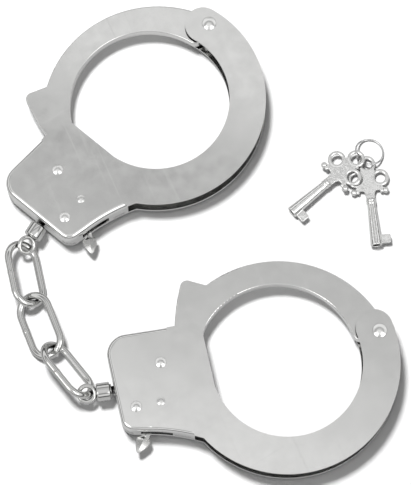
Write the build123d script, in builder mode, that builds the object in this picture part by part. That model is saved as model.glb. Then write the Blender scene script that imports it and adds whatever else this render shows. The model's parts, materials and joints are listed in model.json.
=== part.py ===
from build123d import *
from math import acos, asin, atan2, cos, degrees, hypot, radians, sin, sqrt
import os

# Nickel-plated steel handcuffs with a three-link chain and a pair of pipe keys.
# Millimetres, +Z up, the whole set lying on the plane Z = 0.
# Each cuff is drawn in its own frame: origin on the arm pivot, X away from the chain, Y towards
# the swinging arm, Z up.  CUFFS places that frame on the table.

# ---------------------------------------------------------------- driving dimensions
CENTRE = (-1.493, 3.684)  # middle of the set's outline in the drawing, moved to the origin
CUFFS = {  # pivot position and turn of each cuff
    "a": ((1.3, 81.6), 56.2),
    "b": ((60.4, -31.6), 18.9),
}

# heights through a cuff
HEAD = 1.2  # rivet head height, and so the gap under the front cheek
PLATE = 1.2  # sheet thickness of both cheeks
CUFF_TOP = 10.4  # outer face of the back cheek
GAP_FLOOR = HEAD + PLATE
GAP_TOP = CUFF_TOP - PLATE
ARM_BASE = 4.35
ARM_THICK = 3.6
ARM_TOP = ARM_BASE + ARM_THICK
MID = (HEAD + CUFF_TOP) / 2  # height of the swivel axis

# cheek outline
RING = (-34.1, 0.0)  # centre of the wrist opening
RING_IN = 26.3
RING_OUT = 39.2
CAP_ANGLE = 3.0  # where the cheeks' rounded end is centred on the ring
NECK_ANGLE = 204.0  # where the ring meets the lock housing
LOCK_INNER = (-57.9, 23.0)
LOCK_UPPER = (-91.5, 28.8)
LOCK_LOWER = (-95.1, -4.3)
LOCK_FOOT = (-88.0, -6.9)
LOCK_WAIST = (-79.4, -10.3)
LOCK_RADII = [3.0, 7.0, 4.5]
SHOULDER = 1.5  # drawn radius between the back cheek and its walls
EDGE = 0.35  # rounded edges of the arm

# fixings and lock
PAWL_AT = (-75.4, 13.9)
RIVET_AT = (-88.3, 1.9)
KEY_AT = (-79.7, 0.9)
PIVOT_R = 2.0
RIVET_R = 1.5
SPACER_R = 2.8
SPRING_TIP = (-83.2, 10.6)
FIT = 0.1  # radial running clearance

# ratchet arm
SWEEP = 71.2  # tooth tips, from the pivot
SWEEP_CLEAR = 73.9  # where the housing walls stop
ARM_OUTER = (-37.96, -3.31, 41.0)  # centre and radius of the outer edge of the bow
ARM_INNER = (-37.1, 0.9, 28.2)
ARM_HUB = 5.6
SECTOR_IN = 61.2
TAB_ANGLE = 145.5
TIP_ANGLE = 187.5
TOOTH_PITCH = 2.5
TOOTH_DEPTH = 1.4
TEETH = 10
PAWL_LIFT = 8.5  # degrees the pawl stands back from full engagement

# safety lever and key post
KEY_POST_R = 0.8
LEVER_NECK = 4.1  # underside of the lever where it leaves the wall
LEVER_THICK = 1.0
LEVER_PLATE = ARM_TOP + 0.1  # underside of the lever's plate, under the back cheek
LEVER_WALL = 10.8  # from the key post to the middle of the lower wall
LEVER_ANGLE = 225.5
THUMB_AT = LEVER_WALL + 3.3  # widest place of the thumb piece
THUMB_HALF = 2.4
LEVER_TIP = LEVER_WALL + 8.0
LEVER_WIDTH = 2.6
FINGER_ANGLE = 58.0
SLOT_LOW = 3.2
SLOT_HIGH = 6.8
SLOT_END = 272.5
PAWL_SLACK = 0.62  # degrees between the pawl's steep flanks and the arm's when engaged
PIN_AT = (-80.9, 7.9)  # pawl pin, with the pawl fully engaged

# chain
WIRE = 1.28
LINK_END = 5.75
LINK_HALF = 5.42
LINKS = {  # centre, turn about Z and lean about the link's own length
    "link_1": ((-63.22, -9.95, 4.72), 12.6, 36.5),
    "link_2": ((-57.72, -28.46, 3.99), 21.8, -26.6),
    "link_3": ((-47.80, -44.63, 5.72), 38.85, 48.6),
}
SWIVELS = {  # place in the cuff's wall, direction in the cuff's frame, roll of the eye
    "a": ((-93.7, 8.6), 183.0, -36.8),
    "b": ((-93.45, 10.75), 169.1, -16.9),
}
SWIVEL_SHANK = 1.5
SWIVEL_HEAD = 2.6
BARREL_OUT = 2.9
EYE_REACH = 9.6
EYE_R = 2.8
EYE_WIRE = 0.75

# keys
KEYS = {  # middle of the bow, direction of the stem, height of bow and of tip
    "key_1": ((49.6, 29.5), 220.4, 2.8, 2.1),
    "key_2": ((58.0, 26.1), 275.1, 1.5, 2.1),
}
KEY_LENGTH = 25.0
KEY_WEB = 0.9
KEY_RIM = 1.1
LOOP_R = 3.2
LOOP_HOLE = 1.75
LOOP_SIDE = 4.25
LOOP_END = 5.4
BALL_AT = (4.8, 5.7)
BALL_R = 1.15
COLLAR_AT = 8.0
STEM_R = 1.5
TIP_R = 2.1
TIP_BORE = 1.25
RING_AT = (58.6, 36.0)
RING_R = 4.95
RING_WIRE = 0.32
RING_LEVELS = [  # direction round the key ring and height of the wire there
    (160, 3.2), (176, 3.84), (190, 3.86), (199, 3.7), (207, 2.2), (214, 0.8), (221, 0.42),
    (228, 0.38), (236, 0.42), (245, 1.1), (256, 2.1), (272, 2.65), (290, 2.6), (312, 1.7),
    (340, 0.7), (10, 0.4), (45, 0.4), (90, 0.45), (120, 0.9), (142, 2.0),
]

os.makedirs("parts", exist_ok=True)


# ---------------------------------------------------------------- helpers
def polar(radius, angle, centre=(0.0, 0.0)):
    """A point at a radius and an angle in degrees about a centre."""
    return (centre[0] + radius * cos(radians(angle)), centre[1] + radius * sin(radians(angle)))


def bearing(point, centre=(0.0, 0.0)):
    """The direction of a point from a centre, in degrees from 0 to 360."""
    return degrees(atan2(point[1] - centre[1], point[0] - centre[0])) % 360


def cuff_plane(side):
    """The cuff's own frame, at table height."""
    (x, y), turn = CUFFS[side]
    return Plane(
        origin=(x - CENTRE[0], y - CENTRE[1], 0),
        x_dir=(cos(radians(turn)), sin(radians(turn)), 0),
        z_dir=(0, 0, 1),
    )


def upright(frame, at):
    """A plane standing on its edge at a point of the frame, with its own Y pointing up."""
    return Plane(
        origin=frame.from_local_coords((at[0], at[1], 0)),
        x_dir=frame.x_dir,
        z_dir=-frame.y_dir,
    )


def save(builder, name):
    """Label a finished piece and write it out."""
    builder.part.label = name
    export_step(builder.part, f"parts/{name}.step")


def cheek_outline():
    """A cheek as one face: lock housing, ring and rounded pivot end."""
    band = (RING_OUT - RING_IN) / 2
    cap = polar(RING_IN + band, CAP_ANGLE, RING)
    with BuildSketch() as outline:
        with BuildLine():
            FilletPolyline(
                (RING[0] - RING_IN, RING[1]), LOCK_INNER, LOCK_UPPER, LOCK_LOWER, LOCK_FOOT,
                radius=LOCK_RADII,
            )
            ThreePointArc(LOCK_FOOT, LOCK_WAIST, polar(RING_OUT, NECK_ANGLE, RING))
            CenterArc(RING, RING_OUT, NECK_ANGLE, 360 + CAP_ANGLE - NECK_ANGLE)
            CenterArc(cap, band, CAP_ANGLE, 180)
            CenterArc(RING, RING_IN, CAP_ANGLE, -180 - CAP_ANGLE)
        make_face()
    return outline.sketch


def pin_section(shank, low, high, head, head_height, steps=()):
    """Half section of a rivet: shank, a dome at each end and any shoulders (low, high, radius)."""
    dome = (head**2 + head_height**2) / (2 * head_height)
    half = degrees(asin(head / dome))
    with BuildSketch() as section:
        with BuildLine():
            Line((0, low - head_height), (0, high + head_height))
            CenterArc((0, high + head_height - dome), dome, 90, -half)
            Polyline((head, high), (shank, high), (shank, low), (head, low))
            CenterArc((0, low - head_height + dome), dome, 270, half)
        make_face()
        for bottom, top, radius in steps:
            with Locations((radius / 2, (bottom + top) / 2)):
                Rectangle(radius, top - bottom)
    return section.sketch


# ---------------------------------------------------------------- cuff pieces
def make_back_shell(side):
    """Back cheek: flat ring, and a lock housing with walls drawn down towards the front."""
    frame = cuff_plane(side)
    cheek = cheek_outline()
    lever_half = degrees(LEVER_WIDTH / 2 / LEVER_WALL) + 2
    slot_start = LEVER_ANGLE - lever_half
    slot_turn = SLOT_END - slot_start
    with BuildPart() as back_shell:
        # housing block outside the arm's sweep, with its drawn shoulder
        with BuildSketch(frame.offset(GAP_FLOOR)):
            add(cheek)
            Circle(SWEEP_CLEAR, mode=Mode.SUBTRACT)
        extrude(amount=CUFF_TOP - GAP_FLOOR)
        top_edges = back_shell.faces().sort_by(Axis.Z)[-1].outer_wire().edges()
        sweep_edge = top_edges.filter_by(GeomType.CIRCLE).sort_by(lambda e: e.radius)[-1]
        fillet(top_edges - ShapeList([sweep_edge]), SHOULDER)
        # hollow inside the walls
        with BuildSketch(frame.offset(GAP_FLOOR)):
            add(cheek)
            offset(amount=-PLATE, mode=Mode.REPLACE)
        extrude(amount=GAP_TOP - GAP_FLOOR, mode=Mode.SUBTRACT)
        # flat cheek within the sweep
        with BuildSketch(frame.offset(GAP_TOP)):
            add(cheek)
            Circle(SWEEP_CLEAR, mode=Mode.INTERSECT)
        extrude(amount=PLATE)
        # slot for the safety lever in the lower wall
        with BuildSketch(frame.offset(SLOT_LOW)):
            with BuildLine():
                slot_in = CenterArc(KEY_AT, LEVER_WALL - 3, slot_start, slot_turn)
                slot_out = CenterArc(KEY_AT, LEVER_WALL + 3, slot_start, slot_turn)
                Line(slot_in @ 0, slot_out @ 0)
                Line(slot_in @ 1, slot_out @ 1)
            make_face()
        extrude(amount=SLOT_HIGH - SLOT_LOW, mode=Mode.SUBTRACT)
        # swivel bore
        with BuildSketch(swivel_plane(side).offset(-4)):
            Circle(SWIVEL_SHANK + FIT)
        extrude(amount=8, mode=Mode.SUBTRACT)
        # rivet holes
        with BuildSketch(frame.offset(GAP_TOP)):
            Circle(PIVOT_R)
            with Locations(PAWL_AT, RIVET_AT):
                Circle(RIVET_R)
            with Locations(KEY_AT):
                Circle(KEY_POST_R)
        extrude(amount=PLATE, mode=Mode.SUBTRACT)
    save(back_shell, f"back_shell_{side}")


def make_front_shell(side):
    """Front cheek, flat, with the keyhole; it lies towards the table."""
    frame = cuff_plane(side)
    cheek = cheek_outline()
    with BuildPart() as front_shell:
        with BuildSketch(frame.offset(HEAD)):
            add(cheek)
        extrude(amount=PLATE)
        with BuildSketch(frame.offset(HEAD)):
            Circle(PIVOT_R)
            with Locations(PAWL_AT, RIVET_AT):
                Circle(RIVET_R)
            with Locations(KEY_AT):
                Circle(TIP_R + 0.4)
            with Locations((KEY_AT[0], KEY_AT[1] - 3.0)):
                Rectangle(1.8, 5.0)
        extrude(amount=PLATE, mode=Mode.SUBTRACT)
    save(front_shell, f"front_shell_{side}")


def make_ratchet_arm(side):
    """Swinging arm: a curved bow from the pivot to a toothed sector struck from the pivot."""
    frame = cuff_plane(side)
    outer_centre, outer_r = ARM_OUTER[:2], ARM_OUTER[2]
    inner_centre, inner_r = ARM_INNER[:2], ARM_INNER[2]
    # where the ray at the tab leaves the bow's outer edge
    along = outer_centre[0] * cos(radians(TAB_ANGLE)) + outer_centre[1] * sin(radians(TAB_ANGLE))
    notch_r = along + sqrt(along**2 - hypot(*outer_centre) ** 2 + outer_r**2)
    notch = polar(notch_r, TAB_ANGLE)
    # where the bow's inner edge runs into the sector's inner edge
    span = hypot(*inner_centre)
    spread = degrees(acos((SECTOR_IN**2 + span**2 - inner_r**2) / (2 * SECTOR_IN * span)))
    throat_angle = bearing(inner_centre) - spread
    throat = polar(SECTOR_IN, throat_angle)
    heel = polar(outer_r, 8, outer_centre)
    toe = polar(inner_r, -1, inner_centre)
    with BuildPart() as ratchet_arm:
        with BuildSketch(frame.offset(ARM_BASE)) as outline:
            with BuildLine():
                CenterArc(outer_centre, outer_r, 8, bearing(notch, outer_centre) - 8)
                Line(notch, polar(SWEEP, TAB_ANGLE))
                CenterArc((0, 0), SWEEP, TAB_ANGLE, TIP_ANGLE - TAB_ANGLE)
                Line(polar(SWEEP, TIP_ANGLE), polar(SECTOR_IN, TIP_ANGLE))
                CenterArc((0, 0), SECTOR_IN, TIP_ANGLE, throat_angle - TIP_ANGLE)
                CenterArc(
                    inner_centre, inner_r, bearing(throat, inner_centre),
                    -1 - bearing(throat, inner_centre),
                )
                Polyline(toe, (0, -5), heel)
            make_face()
            Circle(ARM_HUB)
            for point, radius in (
                (polar(SWEEP, TAB_ANGLE), 2.4),
                (notch, 1.0),
                (polar(SWEEP, TIP_ANGLE), 1.0),
                (polar(SECTOR_IN, TIP_ANGLE), 4.0),
                (throat, 8.0),
                (toe, 3.0),
            ):
                fillet(outline.vertices().sort_by_distance(point)[0], radius)
            Circle(PIVOT_R + FIT, mode=Mode.SUBTRACT)
        extrude(amount=ARM_THICK)
        for face in ratchet_arm.faces().filter_by(Axis.Z):
            fillet(face.outer_wire().edges(), EDGE)
        # ratchet teeth, steep on the side that resists opening
        first = TIP_ANGLE - 1.5 - TOOTH_PITCH * TEETH
        with BuildSketch(frame.offset(ARM_BASE)):
            for i in range(TEETH):
                steep = first + TOOTH_PITCH * (i + 1)
                with BuildLine():
                    Polyline(
                        polar(SWEEP + 0.6, steep - TOOTH_PITCH * 1.15),
                        polar(SWEEP - TOOTH_DEPTH, steep),
                        polar(SWEEP + 0.6, steep),
                        close=True,
                    )
                make_face()
        extrude(amount=ARM_THICK, mode=Mode.SUBTRACT)
    save(ratchet_arm, f"ratchet_arm_{side}")


def make_pin(side, name, at, shank, head, low=HEAD, steps=()):
    """A headed pin through the cheeks."""
    stand = upright(cuff_plane(side), at)
    section = pin_section(shank, low, CUFF_TOP, head, HEAD, steps)
    with BuildPart() as pin:
        with BuildSketch(stand):
            add(section)
        revolve(axis=Axis(stand.origin, (0, 0, 1)))
    save(pin, f"{name}_{side}")


def make_spacer(side, name, at, bore, radius, low, high):
    """A plain round spacer on a pin."""
    with BuildPart() as spacer:
        with BuildSketch(cuff_plane(side).offset(low)):
            with Locations(at):
                Circle(radius)
                Circle(bore, mode=Mode.SUBTRACT)
        extrude(amount=high - low)
    save(spacer, f"{name}_{side}")


def make_key_post(side):
    """Post riveted into the back cheek; the hollow key and the safety lever turn on it."""
    stand = upright(cuff_plane(side), KEY_AT)
    head, head_height = 1.55, 0.6
    dome = (head**2 + head_height**2) / (2 * head_height)
    half = degrees(asin(head / dome))
    with BuildPart() as key_post:
        with BuildSketch(stand):
            with BuildLine():
                Polyline(
                    (0, CUFF_TOP + head_height), (0, 1.8), (KEY_POST_R - 0.2, 1.8),
                    (KEY_POST_R, 2.2), (KEY_POST_R, CUFF_TOP), (head, CUFF_TOP),
                )
                CenterArc((0, CUFF_TOP + head_height - dome), dome, 90 - half, half)
            make_face()
        revolve(axis=Axis(stand.origin, (0, 0, 1)))
    save(key_post, f"key_post_{side}")


def swivel_plane(side):
    """Plane across the swivel axis at the housing wall, facing outwards."""
    frame = cuff_plane(side)
    place, direction, _ = SWIVELS[side]
    origin = frame.from_local_coords((*place, MID))
    out = frame.from_local_coords((*polar(1, direction, place), MID)) - origin
    return Plane(origin=origin, x_dir=(0, 0, 1), z_dir=out)


def make_pawl(side):
    """Spring-loaded pawl with three teeth, hung on its rivet and standing clear of the arm."""
    frame = cuff_plane(side)
    first = TIP_ANGLE - 1.5 - TOOTH_PITCH * 2
    back = SWEEP + 0.25
    with BuildPart() as pawl:
        with BuildSketch(frame.offset(ARM_BASE)):
            with BuildLine():
                Polyline(
                    polar(back, first),
                    polar(back + 3.2, first),
                    polar(back + 4.6, first - 7),
                    PAWL_AT,
                    polar(back, first - 9),
                )
                CenterArc((0, 0), back, first - 9, 9)
            make_face()
            for i in range(3):
                steep = first - TOOTH_PITCH * i - PAWL_SLACK
                with BuildLine():
                    Polyline(
                        polar(back + 0.05, steep - TOOTH_PITCH * 0.75),
                        polar(SWEEP - TOOTH_DEPTH + 0.6, steep),
                        polar(back + 0.05, steep),
                        close=True,
                    )
                make_face()
            # lug that carries the release pin and takes the spring
            with BuildLine():
                Polyline(
                    (PAWL_AT[0] + 0.5, PAWL_AT[1] - 2.0),
                    (PAWL_AT[0] - 2.0, PAWL_AT[1] + 1.8),
                    (PIN_AT[0] - 1.4, PIN_AT[1] + 0.6),
                    (PIN_AT[0] - 0.4, PIN_AT[1] - 1.4),
                    close=True,
                )
            make_face()
            with Locations(PAWL_AT):
                Circle(2.7)
                Circle(RIVET_R + FIT, mode=Mode.SUBTRACT)
        extrude(amount=ARM_THICK)
        with BuildSketch(frame.offset(ARM_TOP)):
            with Locations(PIN_AT):
                Circle(0.7)
        extrude(amount=GAP_TOP - ARM_TOP - 0.25)
    pawl.part = pawl.part.rotate(
        Axis(frame.from_local_coords((*PAWL_AT, 0)), (0, 0, 1)), -PAWL_LIFT
    )
    save(pawl, f"pawl_{side}")


def make_pawl_spring(side):
    """Flat spring wrapped round the housing spacer, its free leg behind the pawl's lug."""
    frame = cuff_plane(side)
    with BuildPart() as pawl_spring:
        with BuildSketch(frame.offset(ARM_BASE + 0.3)):
            with BuildLine():
                wrap = CenterArc(RIVET_AT, SPACER_R + 0.25, 100, 260)
                Line(wrap @ 1, SPRING_TIP)
            trace(line_width=0.4)
        extrude(amount=ARM_THICK - 0.6)
    save(pawl_spring, f"pawl_spring_{side}")


def make_safety_lever(side):
    """Release lever: a plate turning on the key post, a leg down, and a thumb piece outside."""
    frame = cuff_plane(side)
    turned = Plane(
        origin=frame.from_local_coords((*KEY_AT, 0)),
        x_dir=frame.from_local_coords((*polar(1, LEVER_ANGLE, KEY_AT), 0))
        - frame.from_local_coords((*KEY_AT, 0)),
        z_dir=(0, 0, 1),
    )
    finger = FINGER_ANGLE - LEVER_ANGLE
    leg = LEVER_WALL - 2.3
    half = LEVER_WIDTH / 2
    with BuildPart() as safety_lever:
        with BuildSketch(turned.offset(LEVER_PLATE)):
            Circle(2.4)
            with Locations((leg / 2, 0)):
                Rectangle(leg, LEVER_WIDTH)
            with Locations(Location(polar(4.2, finger), finger)):
                SlotOverall(8.6, 1.7)
            Circle(KEY_POST_R + FIT, mode=Mode.SUBTRACT)
        extrude(amount=LEVER_THICK)
        with BuildSketch(turned.offset(LEVER_NECK)):
            with Locations((leg - 0.5, 0)):
                Rectangle(1.0, LEVER_WIDTH)
        extrude(amount=LEVER_PLATE + LEVER_THICK - LEVER_NECK)
        with BuildSketch(turned.offset(LEVER_NECK)):
            with BuildLine():
                Polyline(
                    (leg - 1, half), (LEVER_WALL + 2.2, half), (THUMB_AT, THUMB_HALF),
                    (LEVER_TIP, 0), (THUMB_AT, -THUMB_HALF), (LEVER_WALL + 2.2, -half),
                    (leg - 1, -half), close=True,
                )
            thumb = make_face()
            fillet(thumb.vertices().sort_by_distance((LEVER_TIP, 0))[0], 0.7)
        extrude(amount=LEVER_THICK)
    save(safety_lever, f"safety_lever_{side}")


def make_swivel_stud(side):
    """Swivel: headed shank through the housing wall, turned barrel and a chain eye."""
    across = swivel_plane(side)
    roll = radians(SWIVELS[side][2])
    eye_at = across.from_local_coords((0, 0, EYE_REACH))
    lateral = across.z_dir.cross(Vector(0, 0, 1))
    normal = lateral * sin(roll) + Vector(0, 0, 1) * cos(roll)
    with BuildPart() as swivel_stud:
        for low, high, radius in (
            (-3.1, -1.75, SWIVEL_HEAD),
            (-2.0, 1.2, SWIVEL_SHANK),
            (1.0, 6.2, BARREL_OUT),
        ):
            with BuildSketch(across.offset(low)):
                Circle(radius)
            extrude(amount=high - low)
        rims = swivel_stud.edges().filter_by(GeomType.CIRCLE)
        fillet(rims.filter_by(lambda e: abs(e.radius - BARREL_OUT) < 1e-3), 0.4)
        with BuildSketch(Plane(eye_at, x_dir=across.z_dir, z_dir=across.z_dir.cross(normal))):
            with Locations((EYE_R, 0)):
                Circle(EYE_WIRE)
        revolve(axis=Axis(eye_at, normal))
    save(swivel_stud, f"swivel_stud_{side}")


# ---------------------------------------------------------------- chain and keys
def make_link(name):
    """A welded oval link of round wire, leaning on its neighbours."""
    (x, y, z), turn, lean = LINKS[name]
    stand = Plane(
        origin=(x - CENTRE[0], y - CENTRE[1], z),
        x_dir=Vector(cos(radians(lean)), 0, -sin(radians(lean))).rotate(Axis.Z, turn),
        z_dir=Vector(sin(radians(lean)), 0, cos(radians(lean))).rotate(Axis.Z, turn),
    )
    with BuildPart() as link:
        with BuildLine(stand) as path:
            Line((LINK_END, -LINK_HALF), (LINK_END, LINK_HALF))
            CenterArc((0, LINK_HALF), LINK_END, 0, 180)
            Line((-LINK_END, LINK_HALF), (-LINK_END, -LINK_HALF))
            CenterArc((0, -LINK_HALF), LINK_END, 180, 180)
        with BuildSketch(path.line ^ 0):
            Circle(WIRE)
        sweep()
    save(link, name)


def make_key(name):
    """Pipe key: trefoil bow with two balls, collar, tapered hollow stem and bit."""
    (x, y), turn, bow_z, tip_z = KEYS[name]
    slope = (tip_z - bow_z) / KEY_LENGTH
    along = Vector(1, 0, slope).rotate(Axis.Z, turn)
    key_plane = Plane(
        origin=(x - CENTRE[0], y - CENTRE[1], bow_z),
        x_dir=along,
        z_dir=Vector(-slope, 0, 1).rotate(Axis.Z, turn),
    )
    loops = [(0, LOOP_SIDE), (0, -LOOP_SIDE), (-LOOP_END, 0)]
    with BuildPart() as key:
        with BuildSketch(key_plane.offset(-KEY_WEB / 2)):
            with BuildLine():
                Polyline((-4, -2), (2.6, -4.2), (BALL_AT[0] + 0.6, -BALL_AT[1]))
                Polyline((BALL_AT[0] + 0.6, -BALL_AT[1]), (4.4, -2), (5.6, -1.5), (9, -1.3))
                Polyline((9, -1.3), (9, 1.3), (5.6, 1.5), (4.4, 2))
                Polyline((4.4, 2), (BALL_AT[0] + 0.6, BALL_AT[1]), (2.6, 4.2), (-4, 2), (-4, -2))
            make_face()
            with Locations(*loops):
                Circle(LOOP_R - 0.5)
        extrude(amount=KEY_WEB)
        with BuildSketch(key_plane.offset(-KEY_RIM / 2)):
            with Locations(*loops):
                Circle(LOOP_R)
                Circle(LOOP_HOLE + 0.4, mode=Mode.SUBTRACT)
        extrude(amount=KEY_RIM)
        with BuildSketch(key_plane.offset(-KEY_RIM)):
            with Locations(*loops):
                Circle(LOOP_HOLE)
        extrude(amount=2 * KEY_RIM, mode=Mode.SUBTRACT)
        with Locations(key_plane):
            with Locations((BALL_AT[0], BALL_AT[1], 0), (BALL_AT[0], -BALL_AT[1], 0)):
                Sphere(BALL_R)
        # turned stem with its collar, hollow from the tip
        with BuildSketch(Plane(key_plane.origin, x_dir=along, z_dir=-key_plane.y_dir)):
            with BuildLine():
                Polyline(
                    (COLLAR_AT, 0), (COLLAR_AT, 1.2), (COLLAR_AT + 0.4, 1.6), (COLLAR_AT + 1.2, 1.6),
                    (COLLAR_AT + 1.6, STEM_R), (KEY_LENGTH, TIP_R), (KEY_LENGTH, TIP_BORE),
                    (KEY_LENGTH - 6, TIP_BORE), (KEY_LENGTH - 6.6, 0), close=True,
                )
            make_face()
        revolve(axis=Axis(key_plane.origin, along))
        # bit
        with BuildSketch(key_plane.offset(-0.65)):
            with Locations((KEY_LENGTH - 2.0, (TIP_R + 5.2) / 2 - 0.2)):
                RectangleRounded(2.8, 5.2 - TIP_R + 0.4, 0.5)
        extrude(amount=1.3)
    save(key, name)


def make_key_ring():
    """Thin wire ring, threaded down through one bow and up through the other."""
    centre = (RING_AT[0] - CENTRE[0], RING_AT[1] - CENTRE[1])
    loop = Spline(*[(*polar(RING_R, a, centre), z) for a, z in RING_LEVELS], periodic=True)
    with BuildPart() as key_ring:
        for start, end in ((0, 0.5), (0.5, 1)):
            half = loop.trim(start, end)
            with BuildSketch(Plane(origin=half @ 0, z_dir=half % 0)):
                Circle(RING_WIRE)
            sweep(path=half)
    save(key_ring, "key_ring")


for side in CUFFS:
    make_back_shell(side)
    make_front_shell(side)
    make_ratchet_arm(side)
    make_pin(side, "pivot_rivet", (0, 0), PIVOT_R, 2.95)
    make_pin(side, "body_rivet", RIVET_AT, RIVET_R, 2.2)
    make_pin(
        side, "pawl_rivet", PAWL_AT, RIVET_R, 2.2,
        steps=((GAP_FLOOR, ARM_BASE - FIT, 2.5), (ARM_TOP + FIT, GAP_TOP, 2.5)),
    )
    make_spacer(side, "body_spacer", RIVET_AT, RIVET_R, SPACER_R, GAP_FLOOR, GAP_TOP)
    make_spacer(side, "pivot_spacer_front", (0, 0), PIVOT_R, 4.5, GAP_FLOOR, ARM_BASE - FIT)
    make_spacer(side, "pivot_spacer_back", (0, 0), PIVOT_R, 4.5, ARM_TOP + FIT, GAP_TOP)
    make_key_post(side)
    make_pawl(side)
    make_pawl_spring(side)
    make_safety_lever(side)
    make_swivel_stud(side)
for name in LINKS:
    make_link(name)
for name in KEYS:
    make_key(name)
make_key_ring()
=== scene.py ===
import json
from math import atan2, cos, pi, radians, sin

import bmesh
import bpy
import numpy as np
from mathutils import Matrix, Vector


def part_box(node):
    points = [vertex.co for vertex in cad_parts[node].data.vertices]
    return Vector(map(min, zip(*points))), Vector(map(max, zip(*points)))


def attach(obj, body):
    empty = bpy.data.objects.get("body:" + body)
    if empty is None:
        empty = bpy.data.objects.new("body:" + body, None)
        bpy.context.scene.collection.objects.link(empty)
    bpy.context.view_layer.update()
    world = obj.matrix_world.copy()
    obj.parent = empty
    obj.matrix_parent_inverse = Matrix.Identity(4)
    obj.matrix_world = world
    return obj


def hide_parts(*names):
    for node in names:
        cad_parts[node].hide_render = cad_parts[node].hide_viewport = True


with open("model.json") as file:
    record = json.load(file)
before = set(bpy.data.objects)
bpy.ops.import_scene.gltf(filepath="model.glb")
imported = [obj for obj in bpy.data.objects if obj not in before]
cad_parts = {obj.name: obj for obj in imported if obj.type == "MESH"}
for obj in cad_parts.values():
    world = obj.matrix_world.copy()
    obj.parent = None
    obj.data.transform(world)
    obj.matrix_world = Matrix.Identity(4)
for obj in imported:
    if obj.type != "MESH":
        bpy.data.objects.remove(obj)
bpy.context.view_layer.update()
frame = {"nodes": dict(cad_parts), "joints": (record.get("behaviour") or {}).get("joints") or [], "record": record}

MM = 0.001

# camera
VIEW_TILT = 15.5  # degrees from straight down, from the side nearest the viewer
VIEW_DISTANCE = 0.83
VIEW_WIDTH = 0.1438  # width of the picture at the cuffs' upper faces
VIEW_AIM = (1.5 * MM, -3.7 * MM, 10.4 * MM)

# light
KEY_FROM = (-0.21, 0.27, 1.0)  # direction of the key light
KEY_POWER = 15.4
KEY_SIZE = 0.26
KEY_DISTANCE = 1.2
SKY_SHARE = 0.19  # how much of the sky's brightness lights matt surfaces
FLOOR_GLOW = 0.50  # painted reflection: how bright the floor glows, free of its shadows, in rays mirrored by the metal
FLOOR_GLOW_SHARE = 0.80
CEILING_NEAR = 0.15  # lean of the reflections at the near and the far end of the ceiling
CEILING_FAR = 0.40
CEILING = (
    (0.0, 0.85), (0.16, 0.98), (0.27, 0.66), (0.40, 0.60), (0.50, 0.58),
    (0.57, 0.34), (0.64, 0.60), (0.72, 1.02), (0.85, 0.80), (1.0, 0.72),
)
TENT = (  # brightness from the horizon to the zenith, outside the ceiling
    (0.0, 0.20), (0.26, 0.12), (0.36, 0.95), (0.64, 0.95), (0.73, 0.25), (0.85, 0.55), (1.0, 0.62),
)
CEILING_RIM = (0.84, 0.91)  # upward share of the direction where the tent gives way to the ceiling
FRONT_BOXES = ((-0.50, -0.42, 0.76), (0.50, -0.42, 0.76))
BOX_EDGE = (0.94, 0.985)
BOX_BRIGHTNESS = 2.4

# rivets, in millimetres: head radius and height of the soft dome
DOMES = {"pivot_rivet": (2.6, 0.80), "body_rivet": (2.0, 0.68), "pawl_rivet": (2.0, 0.68)}
POST_DOME = (1.5, 0.34)
CAD_HEAD = 1.2  # height of the CAD rivets' heads, which the cuffs rest on
CAD_POST_HEAD = 0.6
SUNK = 0.02  # how far a head's rim goes into the sheet
SHANK_R = 1.3
POST_R = 0.8

RIM = 0.22  # rolled edge of the cheeks

# chain, in millimetres
WIRE_R = 1.28
LINK_END_R = 5.75  # middle of the wire round a link's end
LINK_HALF = 5.42  # half a link's straight side
WELD_AT = 0.6  # along the straight side, from its middle
WELD_SWELL = 0.13
WELD_LENGTH = 0.55
SEAM_DEPTH = 0.10
SEAM_LENGTH = 0.12
BARREL_R = 3.15
BARREL_FAR = 6.6  # end of the barrel, from the housing's wall
EYE_REACH = 9.6
EYE_R = 2.8
EYE_WIRE = 0.75

# keys, in millimetres along the stem from the middle of the bow
KEY_LENGTH = 25.0
KEY_LOOPS = ((0, 4.25), (0, -4.25), (-5.4, 0))  # two side loops and the end loop
LOOP_HOLE = 1.85
LOOP_WIDTH = 0.68
LOOP_THICK = 0.54
LOOP_CROWN = 0.18  # how much the rim of a loop is raised above a plain oval
LOBES = ((4.75, 5.7, 1.1), (4.9, 4.25, 0.7))  # each pair of balls: place and radius
WEB_HALF = 0.48
BIT_HALF = 0.72
COLLAR_X = 8.8
COLLAR_R = 1.76
COLLAR_BEAD = 0.46
STEM_R = 1.5
TIP_R = 2.1
TIP_BORE = 1.35
BORE_DEPTH = 6.0
KEY_VOXEL = 0.11


# ---------------------------------------------------------------- materials
def shader(name):
    """A new node material, its tree, and its Principled shader."""
    made = bpy.data.materials.new(name)
    made.use_nodes = True
    tree = made.node_tree
    return made, tree, tree.nodes["Principled BSDF"]


def node(tree, kind, inputs=(), **settings):
    """A new node with its settings and the values of its inputs."""
    made = tree.nodes.new(kind)
    for key, value in settings.items():
        setattr(made, key, value)
    for key, value in dict(inputs).items():
        made.inputs[key].default_value = value
    return made


def ramp(tree, source, stops):
    """A colour ramp fed by a value; each stop is a place and a colour or a grey level."""
    made = node(tree, "ShaderNodeValToRGB")
    points = made.color_ramp.elements
    while len(points) < len(stops):
        points.new(0.5)
    for point, (place, colour) in zip(points, stops):
        point.position = place
        point.color = (*colour, 1) if hasattr(colour, "__len__") else (colour, colour, colour, 1)
    tree.links.new(source, made.inputs["Fac"])
    return made.outputs["Color"]


def spread(tree, source, low, high, to_low, to_high):
    """A value moved from one range to another, clamped."""
    made = node(tree, "ShaderNodeMapRange", {
        "From Min": low, "From Max": high, "To Min": to_low, "To Max": to_high,
    })
    tree.links.new(source, made.inputs["Value"])
    return made.outputs["Result"]


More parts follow.
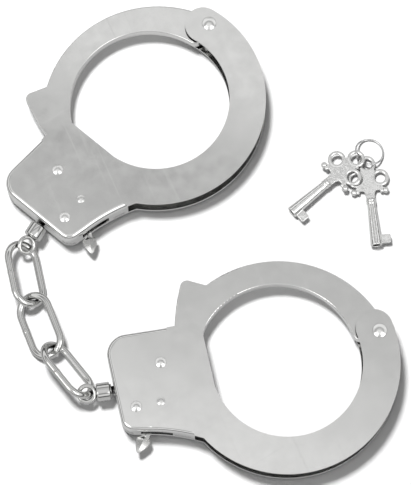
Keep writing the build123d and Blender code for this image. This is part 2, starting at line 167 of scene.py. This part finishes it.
def noise(tree, place, scale, detail=3.0, stretch=(1, 1, 1), turn=0.0):
    """Noise in the object's own space, stretched and turned about Z."""
    moved = node(tree, "ShaderNodeMapping", {"Scale": stretch, "Rotation": (0, 0, radians(turn))},
                 vector_type="TEXTURE")
    made = node(tree, "ShaderNodeTexNoise", {"Scale": scale, "Detail": detail})
    tree.links.new(place, moved.inputs["Vector"])
    tree.links.new(moved.outputs["Vector"], made.inputs["Vector"])
    return made.outputs["Fac"]


def bump(tree, height, distance, under=None):
    """A bump of a height in metres, on top of another."""
    made = node(tree, "ShaderNodeBump", {"Strength": 1.0, "Distance": distance})
    tree.links.new(height, made.inputs["Height"])
    if under:
        tree.links.new(under, made.inputs["Normal"])
    return made.outputs["Normal"]


def nickel(name, colour, rough, ripple, grain, painted_shade_level=0.06, ripples=60.0):
    """Bright nickel plate: rippled polish, fine grain, hairline scratches, haze, and painted shade that darkens
    recesses.

    ripple and grain are heights in metres, and ripples is how many there are to a metre.
    """
    made, tree, face = shader(name)
    link = tree.links.new
    face.inputs["Metallic"].default_value = 1.0
    place = node(tree, "ShaderNodeTexCoord").outputs["Object"]
    # colour: faint clouding, and painted shade: darker in recesses, from an ambient occlusion term
    cloud = ramp(tree, noise(tree, place, 80.0, 4.0), (
        (0.35, [c * 0.95 for c in colour]), (0.65, colour),
    ))
    # painted shade: the colour is multiplied down towards the shade level where ambient occlusion is low
    ao_node = node(tree, "ShaderNodeAmbientOcclusion", {"Distance": 5 * MM}, samples=8)
    painted_shade_mask = ramp(tree, ao_node.outputs["AO"], ((0.20, painted_shade_level), (0.55, 1.0)))
    clouded_and_shaded = node(tree, "ShaderNodeMix", {"Factor": 1.0}, data_type="RGBA", blend_type="MULTIPLY")
    link(cloud, clouded_and_shaded.inputs["A"])
    link(painted_shade_mask, clouded_and_shaded.inputs["B"])
    link(clouded_and_shaded.outputs["Result"], face.inputs["Base Color"])
    # roughness: haze, with hairlines in two directions
    haze = spread(tree, noise(tree, place, 230.0, 5.0), 0.3, 0.7, rough * 0.8, rough * 1.25)
    lines = [
        ramp(tree, noise(tree, place, 900.0, 2.0, (1, 60, 1), turn), ((0.66, 0.0), (0.72, 1.0)))
        for turn in (24, -57)
    ]
    hair = node(tree, "ShaderNodeMath", operation="MAXIMUM")
    link(lines[0], hair.inputs[0])
    link(lines[1], hair.inputs[1])
    polish = node(tree, "ShaderNodeMath", {1: 0.035}, operation="MULTIPLY")
    link(hair.outputs[0], polish.inputs[0])
    total = node(tree, "ShaderNodeMath", operation="ADD")
    link(polish.outputs[0], total.inputs[0])
    link(haze, total.inputs[1])
    link(total.outputs[0], face.inputs["Roughness"])
    # shape of the polish
    swell = bump(tree, noise(tree, place, ripples, 2.0), ripple)
    link(bump(tree, noise(tree, place, 2600.0, 3.0), grain, swell), face.inputs["Normal"])
    return made


# the shade level argument sets how dark each material's painted shade in recesses gets
materials = {
    "shell": nickel("shell_nickel", (0.80, 0.80, 0.79), 0.12, 2.0e-5, 2e-6),
    "arm": nickel("arm_nickel", (0.81, 0.81, 0.80), 0.12, 2.0e-5, 2e-6),
    "rivet": nickel("rivet_nickel", (0.86, 0.86, 0.85), 0.24, 4e-6, 1e-6, painted_shade_level=0.3),
    "lockwork": nickel("lockwork_nickel", (0.62, 0.62, 0.61), 0.26, 2e-5, 6e-6),
    "spring": nickel("spring_steel", (0.74, 0.74, 0.74), 0.15, 4e-6, 1e-6, painted_shade_level=0.3),
    "chain": nickel("chain_nickel", (0.68, 0.68, 0.67), 0.06, 1.0e-5, 1e-6, painted_shade_level=0.12),
    "key": nickel("key_nickel", (0.94, 0.94, 0.93), 0.10, 1e-4, 3e-6, painted_shade_level=0.12, ripples=650.0),
}
slots = {s["node"]: s["material_slot"] for s in frame["record"]["subparts"]}
bodies = {n: body for body, nodes in frame["record"]["behaviour"]["bodies"].items() for n in nodes}
for name, made in frame["nodes"].items():
    made.data.materials.clear()
    made.data.materials.append(materials[slots[name]])
    if "shell" in name:
        weld = made.modifiers.new("weld", "WELD")
        weld.merge_threshold = 0.001 * MM
        soften = made.modifiers.new("rim", "BEVEL")
        soften.width = RIM * MM
        soften.segments = 3
        soften.limit_method = "ANGLE"
        soften.angle_limit = radians(40)
        soften.harden_normals = True


# ---------------------------------------------------------------- mesh helpers
def joint(name):
    """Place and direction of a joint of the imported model."""
    found = next(j for j in frame["joints"] if j["name"] == name)
    return Vector(found["pos_m"]), Vector(found["axis"]).normalized()


def piece(name, mesh, stands_for, matrix=Matrix.Identity(4), hide=True):
    """Add a finished mesh, in millimetres in its own frame, in the place of a CAD node."""
    mesh.name = name
    mesh.transform(matrix @ Matrix.Scale(MM, 4))
    mesh.materials.clear()
    mesh.materials.append(materials[slots[stands_for]])
    mesh.shade_smooth()
    made = bpy.data.objects.new(name, mesh)
    bpy.context.scene.collection.objects.link(made)
    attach(made, bodies[stands_for])
    if hide:
        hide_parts(stands_for)
    return made


def axes_matrix(origin, x_dir, z_dir):
    """A frame from its origin, its X and its Z."""
    x_dir, z_dir = x_dir.normalized(), z_dir.normalized()
    y_dir = z_dir.cross(x_dir)
    turn = Matrix((x_dir, y_dir, z_dir)).transposed().to_4x4()
    return Matrix.Translation(origin) @ turn


def mesh_of(bm):
    """A mesh from a bmesh, its faces turned outwards."""
    bmesh.ops.recalc_face_normals(bm, faces=bm.faces)
    made = bpy.data.meshes.new("made")
    bm.to_mesh(made)
    bm.free()
    return made


def lathe(profile, sides=48, centre=(0, 0, 0), bm=None):
    """A turned solid about Z from (radius, height) points, into a bmesh."""
    bm = bm or bmesh.new()
    rings = []
    for radius, height in profile:
        if radius == 0:
            rings.append([bm.verts.new((centre[0], centre[1], centre[2] + height))])
            continue
        rings.append([
            bm.verts.new((
                centre[0] + radius * cos(2 * pi * i / sides),
                centre[1] + radius * sin(2 * pi * i / sides),
                centre[2] + height,
            ))
            for i in range(sides)
        ])
    for low, high in zip(rings, rings[1:]):
        for i in range(sides):
            corners = [low[i % len(low)], low[(i + 1) % len(low)],
                       high[(i + 1) % len(high)], high[i % len(high)]]
            bm.faces.new(list(dict.fromkeys(corners)))
    return bm


def loop_tube(points, radii, sides=28):
    """A closed tube round a flat loop of points in the XY plane."""
    bm = bmesh.new()
    count = len(points)
    rings = []
    for i, (point, radius) in enumerate(zip(points, radii)):
        ahead = (points[(i + 1) % count] - points[i - 1]).normalized()
        side = Vector((ahead.y, -ahead.x, 0))
        rings.append([
            bm.verts.new(point + side * (radius * cos(a)) + Vector((0, 0, radius * sin(a))))
            for a in (2 * pi * k / sides for k in range(sides))
        ])
    for i in range(count):
        here, after = rings[i], rings[(i + 1) % count]
        for k in range(sides):
            bm.faces.new((here[k], here[(k + 1) % sides], after[(k + 1) % sides], after[k]))
    return bm


def arc(centre, radius, start, end, count):
    """Points (radius, height) along an arc in a lathe's half section, angles in degrees."""
    return [
        (centre[0] + radius * cos(radians(a)), centre[1] + radius * sin(radians(a)))
        for a in np.linspace(start, end, count)
    ]


# ---------------------------------------------------------------- rivets
def dome(radius, height, count=14):
    """Half section of a soft rivet head: round on top, easing into the sheet at its rim."""
    section = []
    for share in np.linspace(1, 0, count):
        section.append((radius * share, height * (1 - share**2) ** 1.2))
    return section


def make_rivet(name, head, post=False):
    """A headed pin through both cheeks."""
    low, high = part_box(name)
    middle = (low + high) / 2
    bottom, top = low.z / MM, high.z / MM
    radius, height = head
    sheet = top - SUNK - (CAD_POST_HEAD if post else CAD_HEAD)
    upper = [(r, sheet + h) for r, h in dome(radius, height)]
    if post:
        lower = [(0, bottom), (POST_R - 0.2, bottom), (POST_R, bottom + 0.4), (POST_R, sheet)]
    else:
        lower = [(r, bottom + CAD_HEAD - h) for r, h in dome(radius, CAD_HEAD)][::-1]
        lower += [(SHANK_R, lower[-1][1]), (SHANK_R, upper[0][1])]
    bm = lathe(lower + upper)
    piece(f"{name}_turned", mesh_of(bm), name, Matrix.Translation((middle.x, middle.y, 0)))


for side in "ab":
    for kind, head in DOMES.items():
        make_rivet(f"{kind}_{side}", head)
    make_rivet(f"key_post_{side}", POST_DOME, post=True)


# ---------------------------------------------------------------- chain
def own_axes(points):
    """Middle of a cloud of points, and its directions from the longest to the thinnest."""
    cloud = np.array(points)
    middle = (cloud.max(0) + cloud.min(0)) / 2
    directions = np.linalg.svd(cloud - cloud.mean(0), full_matrices=False)[2]
    return Vector(middle), [Vector(d) for d in directions]


def weld_at(along):
    """Extra radius of the wire near its weld: a swelling with a thin seam in it."""
    swelling = WELD_SWELL * np.exp(-(along / WELD_LENGTH) ** 2)
    return swelling - SEAM_DEPTH * np.exp(-(along / SEAM_LENGTH) ** 2)


def make_link(name, weld_towards):
    """A welded oval link of round wire with a swollen seam on one straight side."""
    middle, (long_way, wide_way, _) = own_axes([v.co for v in frame["nodes"][name].data.vertices])
    if wide_way.dot(Vector(weld_towards)) < 0:
        wide_way = -wide_way
    ends = 44
    sides = np.linspace(-LINK_HALF, LINK_HALF, 40, endpoint=False)
    turns = np.linspace(0, pi, ends, endpoint=False)
    points = [Vector((LINK_END_R, y, 0)) for y in sides]
    points += [Vector((LINK_END_R * cos(a), LINK_HALF + LINK_END_R * sin(a), 0)) for a in turns]
    points += [Vector((-LINK_END_R, -y, 0)) for y in sides]
    points += [Vector((-LINK_END_R * cos(a), -LINK_HALF - LINK_END_R * sin(a), 0)) for a in turns]
    radii = [
        WIRE_R + (weld_at(p.y - WELD_AT) if i < len(sides) else 0)
        for i, p in enumerate(points)
    ]
    place = axes_matrix(middle, wide_way, wide_way.cross(long_way))
    piece(f"{name}_wire", mesh_of(loop_tube(points, radii)), name, place)


for name in ("link_1", "link_2", "link_3"):
    make_link(name, (-1, 0.1, 0))


def make_swivel(side):
    """Turned swivel barrel on a headed shank, with a round wire eye."""
    name = f"swivel_stud_{side}"
    wall, outward = joint(f"cuff_{side}_turn")
    beyond = [
        v.co for v in frame["nodes"][name].data.vertices
        if (v.co - wall).dot(outward) > BARREL_FAR * MM
    ]
    _, (_, _, eye_normal) = own_axes(beyond)
    eye_normal = (eye_normal - outward * eye_normal.dot(outward)).normalized()
    barrel = [(0, -3.1), (2.3, -3.1), (2.6, -2.8), (2.6, -1.75), (1.5, -1.75), (1.5, 1.0)]
    barrel += [(2.2, 1.0), (2.35, 1.12), (2.35, 1.55), (BARREL_R - 0.35, 1.6)]
    barrel += arc((BARREL_R - 0.3, 1.9), 0.3, -90, 0, 5)
    barrel += arc((BARREL_R - 0.55, 5.65), 0.55, 0, 90, 7)
    barrel += [(1.6, 6.35), (0, 6.5)]
    place = axes_matrix(wall, eye_normal, outward)
    piece(f"swivel_barrel_{side}", mesh_of(lathe(barrel, 56)), name, place)
    round_eye = [
        Vector((EYE_R * cos(a), EYE_R * sin(a), 0))
        for a in np.linspace(0, 2 * pi, 72, endpoint=False)
    ]
    eye = mesh_of(loop_tube(round_eye, [EYE_WIRE] * len(round_eye), 20))
    centre = wall + outward * EYE_REACH * MM
    piece(f"swivel_eye_{side}", eye, name, axes_matrix(centre, outward, eye_normal))


for side in "ab":
    make_swivel(side)


# ---------------------------------------------------------------- safety levers
THUMB_SECTIONS = (  # distance past the wall, half width, half height
    (0.8, 1.32, 0.60), (1.9, 1.32, 0.62), (2.2, 2.15, 0.66), (2.9, 2.62, 1.00),
    (4.6, 2.42, 1.15), (6.2, 1.62, 0.95), (7.4, 0.85, 0.60), (7.9, 0.40, 0.30),
)
LEVER_WALL = 10.8  # from the key post to the middle of the housing wall
LEVER_LEVEL = 4.6  # height of the middle of the thumb piece


def make_thumb(side):
    """Faceted arrow-shaped thumb piece on the safety lever, with a ridge along its middle."""
    name = f"safety_lever_{side}"
    pivot, _ = joint(f"lever_{side}_pivot")
    pivot.z = 0
    reach = [Vector((v.co.x, v.co.y, 0)) - pivot for v in frame["nodes"][name].data.vertices]
    out = max(reach, key=lambda v: v.length)
    bm = bmesh.new()
    rings = []
    for past, half, thick in THUMB_SECTIONS:
        corner = (half * 0.86, thick * 0.45)
        right = [(half, 0.0), corner, (0.0, thick), (-corner[0], corner[1])]
        outline = right + [(-y, -z) for y, z in right]
        rings.append([bm.verts.new((LEVER_WALL + past, y, LEVER_LEVEL + z)) for y, z in outline])
    for here, after in zip(rings, rings[1:]):
        for k in range(8):
            bm.faces.new((here[k], here[(k + 1) % 8], after[(k + 1) % 8], after[k]))
    bm.faces.new(rings[0])
    bm.faces.new(rings[-1])
    thumb = piece(f"lever_thumb_{side}", mesh_of(bm), name,
                  axes_matrix(pivot, out, Vector((0, 0, 1))), hide=False)
    soften = thumb.modifiers.new("edges", "BEVEL")
    soften.width = 0.13 * MM
    soften.segments = 3
    soften.limit_method = "ANGLE"
    soften.angle_limit = radians(18)
    soften.harden_normals = True


for side in "ab":
    make_thumb(side)


# ---------------------------------------------------------------- keys
def ring_section(width, thick, middle):
    """Closed half section of a rounded ring."""
    return [
        (middle + width * cos(a), thick * sin(a) * (1 + LOOP_CROWN * sin(a) ** 2))
        for a in np.linspace(0, 2 * pi, 21)
    ]


def prism(outline, half):
    """A flat plate from its outline."""
    bm = bmesh.new()
    lower = [bm.verts.new((x, y, -half)) for x, y in outline]
    upper = [bm.verts.new((x, y, half)) for x, y in outline]
    bm.faces.new(lower)
    bm.faces.new(upper)
    count = len(outline)
    for i in range(count):
        bm.faces.new((lower[i], lower[(i + 1) % count], upper[(i + 1) % count], upper[i]))
    return mesh_of(bm)


def add_object(mesh):
    """Link a working object."""
    made = bpy.data.objects.new("work", mesh)
    bpy.context.scene.collection.objects.link(made)
    return made


def settled(made, helper=None):
    """The mesh of an object with its modifiers applied; the object and its helper go away."""
    depsgraph = bpy.context.evaluated_depsgraph_get()
    done = bpy.data.meshes.new_from_object(made.evaluated_get(depsgraph))
    bpy.data.objects.remove(made)
    if helper:
        bpy.data.objects.remove(helper)
    return done


def key_web():
    """Flat web that joins the loops, the balls and the collar, open at the three holes."""
    outline = [(-5.4, 2.2), (-2.4, 2.6), (0, 3.6), (2.6, 4.2), (4.5, 5.6), (5.4, 5.3), (4.5, 3.4),
               (4.6, 2.2), (5.8, 1.6), (8.8, 1.5)]
    outline += [(x, -y) for x, y in reversed(outline)]
    web = add_object(prism(outline, WEB_HALF))
    for x, y in KEY_LOOPS:
        post = [(0, -3), (LOOP_HOLE + 0.35, -3), (LOOP_HOLE + 0.35, 3), (0, 3)]
        cutter = add_object(mesh_of(lathe(post, 40, (x, y, 0))))
        cut = web.modifiers.new("hole", "BOOLEAN")
        cut.object = cutter
        cut.operation = "DIFFERENCE"
        cut.solver = "EXACT"
        web = add_object(settled(web, cutter))
    return web


def key_blank():
    """A pipe key in millimetres: loops, balls, collar, tapered hollow stem and bit, cast as one."""
    stem = [(0, 7.6), (STEM_R, 7.6)]
    for middle in (COLLAR_X - COLLAR_BEAD, COLLAR_X + COLLAR_BEAD):
        stem += arc((COLLAR_R - COLLAR_BEAD, middle), COLLAR_BEAD, -70, 70, 8)
    stem += [(STEM_R, 10.2), (TIP_R - 0.05, KEY_LENGTH - 0.9), (TIP_R, KEY_LENGTH - 0.5)]
    stem += arc((TIP_R - 0.25, KEY_LENGTH - 0.25), 0.25, 0, 90, 4)
    bottom = KEY_LENGTH - BORE_DEPTH
    stem += [(TIP_BORE, KEY_LENGTH), (TIP_BORE, bottom), (0, bottom - 0.5)]
    bm = lathe(stem, 64)
    bmesh.ops.transform(bm, matrix=Matrix.Rotation(pi / 2, 4, "Y"), verts=bm.verts)
    parts = [add_object(mesh_of(bm)), key_web()]
    middle = LOOP_HOLE + LOOP_WIDTH
    for x, y in KEY_LOOPS:
        section = ring_section(LOOP_WIDTH, LOOP_THICK / (1 + LOOP_CROWN), middle)
        ring = lathe(section, 56, (x, y, 0))
        bmesh.ops.remove_doubles(ring, verts=ring.verts, dist=1e-5)
        parts.append(add_object(mesh_of(ring)))
    for sign in (1, -1):
        for x, y, radius in LOBES:
            ball = bmesh.new()
            bmesh.ops.create_icosphere(ball, subdivisions=4, radius=radius)
            bmesh.ops.translate(ball, vec=(x, sign * y, 0), verts=ball.verts)
            parts.append(add_object(mesh_of(ball)))
    bit = [(KEY_LENGTH - 3.7, 1.2), (KEY_LENGTH - 3.7, 4.9), (KEY_LENGTH - 3.3, 5.3),
           (KEY_LENGTH - 1.0, 5.3), (KEY_LENGTH - 0.6, 4.9), (KEY_LENGTH - 0.6, 1.2)]
    parts.append(add_object(prism(bit, BIT_HALF)))
    joined = bmesh.new()
    for part in parts:
        joined.from_mesh(part.data)
        bpy.data.objects.remove(part)
    cast = bpy.data.meshes.new("cast")
    joined.to_mesh(cast)
    joined.free()
    whole = add_object(cast)
    skin = whole.modifiers.new("skin", "REMESH")
    skin.mode = "VOXEL"
    skin.voxel_size = KEY_VOXEL
    melt = whole.modifiers.new("melt", "SMOOTH")
    melt.factor = 0.5
    melt.iterations = 4
    return settled(whole)


def key_place(name):
    """The key's own frame, from its free side hole, its end hole and the lean of its bow."""
    hole = next(m for m in frame["record"]["mounts"] if m["name"] == f"{name}_loop")
    side_hole, up = Vector(hole["pos_m"]), Vector(hole["axis"])
    end_hole, _ = joint(f"{name}_swing")
    across = side_hole - end_hole
    across -= up * across.dot(up)
    points = [v.co for v in frame["nodes"][name].data.vertices]
    tip_way = sum(points, Vector()) / len(points) - end_hole
    hand = 1 if up.dot(tip_way.cross(across)) > 0 else -1
    turn = hand * atan2(KEY_LOOPS[0][1], -KEY_LOOPS[2][0])
    along = Matrix.Rotation(-turn, 3, up) @ across.normalized()
    beside = up.cross(along)
    start = side_hole - beside * (hand * KEY_LOOPS[0][1] * MM)
    return axes_matrix(start, along, up)


blank = key_blank()
for name in ("key_1", "key_2"):
    piece(f"{name}_cast", blank.copy(), name, key_place(name))


# ---------------------------------------------------------------- stage
def flat(name, size, at, material):
    """A plain rectangle facing up, on the stage."""
    half_x, half_y = size[0] / 2, size[1] / 2
    mesh = bpy.data.meshes.new(name)
    corners = [(-half_x, -half_y, 0), (half_x, -half_y, 0), (half_x, half_y, 0), (-half_x, half_y, 0)]
    mesh.from_pydata(corners, [], [(0, 1, 2, 3)])
    made = bpy.data.objects.new(name, mesh)
    made.location = at
    mesh.materials.append(material)
    bpy.context.scene.collection.objects.link(made)
    return made


paper, tree, paper_face = shader("paper")
paper_face.inputs["Base Color"].default_value = (0.93, 0.93, 0.93, 1)
paper_face.inputs["Roughness"].default_value = 0.9
paper_face.inputs["Specular IOR Level"].default_value = 0.1
flat("floor", (6, 6), (0, 0, -0.0002), paper)
# painted reflection: the floor glows for glossy rays, so the metal mirrors a bright floor without its shadows
paths = node(tree, "ShaderNodeLightPath")
glow = node(tree, "ShaderNodeEmission", {"Strength": FLOOR_GLOW})
mixed = node(tree, "ShaderNodeMixShader")
mirrored = spread(tree, paths.outputs["Is Glossy Ray"], 0, 1, 0, FLOOR_GLOW_SHARE)
tree.links.new(mirrored, mixed.inputs["Fac"])
tree.links.new(paper_face.outputs[0], mixed.inputs[1])
tree.links.new(glow.outputs[0], mixed.inputs[2])
tree.links.new(mixed.outputs[0], tree.nodes["Material Output"].inputs["Surface"])


def make_sky():
    """A white tent with a dark foot and top, a banded ceiling and two bright boxes at the front."""
    world = bpy.data.worlds.new("studio")
    bpy.context.scene.world = world
    world.use_nodes = True
    tree = world.node_tree
    tree.nodes.clear()
    link = tree.links.new
    way = node(tree, "ShaderNodeTexCoord").outputs["Generated"]
    apart = node(tree, "ShaderNodeSeparateXYZ")
    link(way, apart.inputs[0])
    tent = ramp(tree, apart.outputs["Z"], TENT)
    # ceiling: soft bright and grey bands from the near side to the far side
    lean = node(tree, "ShaderNodeVectorMath", {1: (0.25, 1.0, 0.0)}, operation="DOT_PRODUCT")
    link(way, lean.inputs[0])
    across = spread(tree, lean.outputs["Value"], CEILING_NEAR, CEILING_FAR, 0.0, 1.0)
    ceiling = ramp(tree, across, CEILING)
    share = spread(tree, apart.outputs["Z"], *CEILING_RIM, 0.0, 1.0)
    both = node(tree, "ShaderNodeMix", data_type="RGBA")
    link(share, both.inputs["Factor"])
    link(tent, both.inputs["A"])
    link(ceiling, both.inputs["B"])
    total = both.outputs["Result"]
    for toward in FRONT_BOXES:
        near = node(tree, "ShaderNodeVectorMath", {1: tuple(Vector(toward).normalized())},
                    operation="DOT_PRODUCT")
        link(way, near.inputs[0])
        add = node(tree, "ShaderNodeMix", {"Factor": 1.0}, data_type="RGBA", blend_type="ADD")
        link(total, add.inputs["A"])
        link(spread(tree, near.outputs["Value"], *BOX_EDGE, 0.0, BOX_BRIGHTNESS), add.inputs["B"])
        total = add.outputs["Result"]
    back = node(tree, "ShaderNodeBackground")
    light_path = node(tree, "ShaderNodeLightPath")
    link(total, back.inputs["Color"])
    strength = spread(tree, light_path.outputs["Is Diffuse Ray"], 0, 1, 1.0, SKY_SHARE)
    link(strength, back.inputs["Strength"])
    link(back.outputs[0], node(tree, "ShaderNodeOutputWorld").inputs["Surface"])


def lamp(name, power, size, toward, distance):
    """A round softbox shining at the set from a direction."""
    light = bpy.data.lights.new(name, "AREA")
    light.shape = "DISK"
    light.size = size
    light.energy = power
    made = bpy.data.objects.new(name, light)
    direction = Vector(toward).normalized()
    made.location = direction * distance
    made.rotation_euler = direction.to_track_quat("Z", "Y").to_euler()
    bpy.context.scene.collection.objects.link(made)
    return made


make_sky()
key_light = lamp("key_light", KEY_POWER, KEY_SIZE, KEY_FROM, KEY_DISTANCE)
key_light.visible_glossy = False

camera = bpy.data.objects.new("camera", bpy.data.cameras.new("camera"))
tilt = radians(VIEW_TILT)
camera.location = Vector(VIEW_AIM) + VIEW_DISTANCE * Vector((0, -sin(tilt), cos(tilt)))
camera.rotation_euler = (tilt, 0, 0)
camera.data.sensor_fit = "HORIZONTAL"
camera.data.sensor_width = 36.0
camera.data.lens = 36.0 * VIEW_DISTANCE / VIEW_WIDTH
bpy.context.scene.collection.objects.link(camera)
bpy.context.scene.camera = camera
bpy.context.scene.view_settings.view_transform = "Standard"
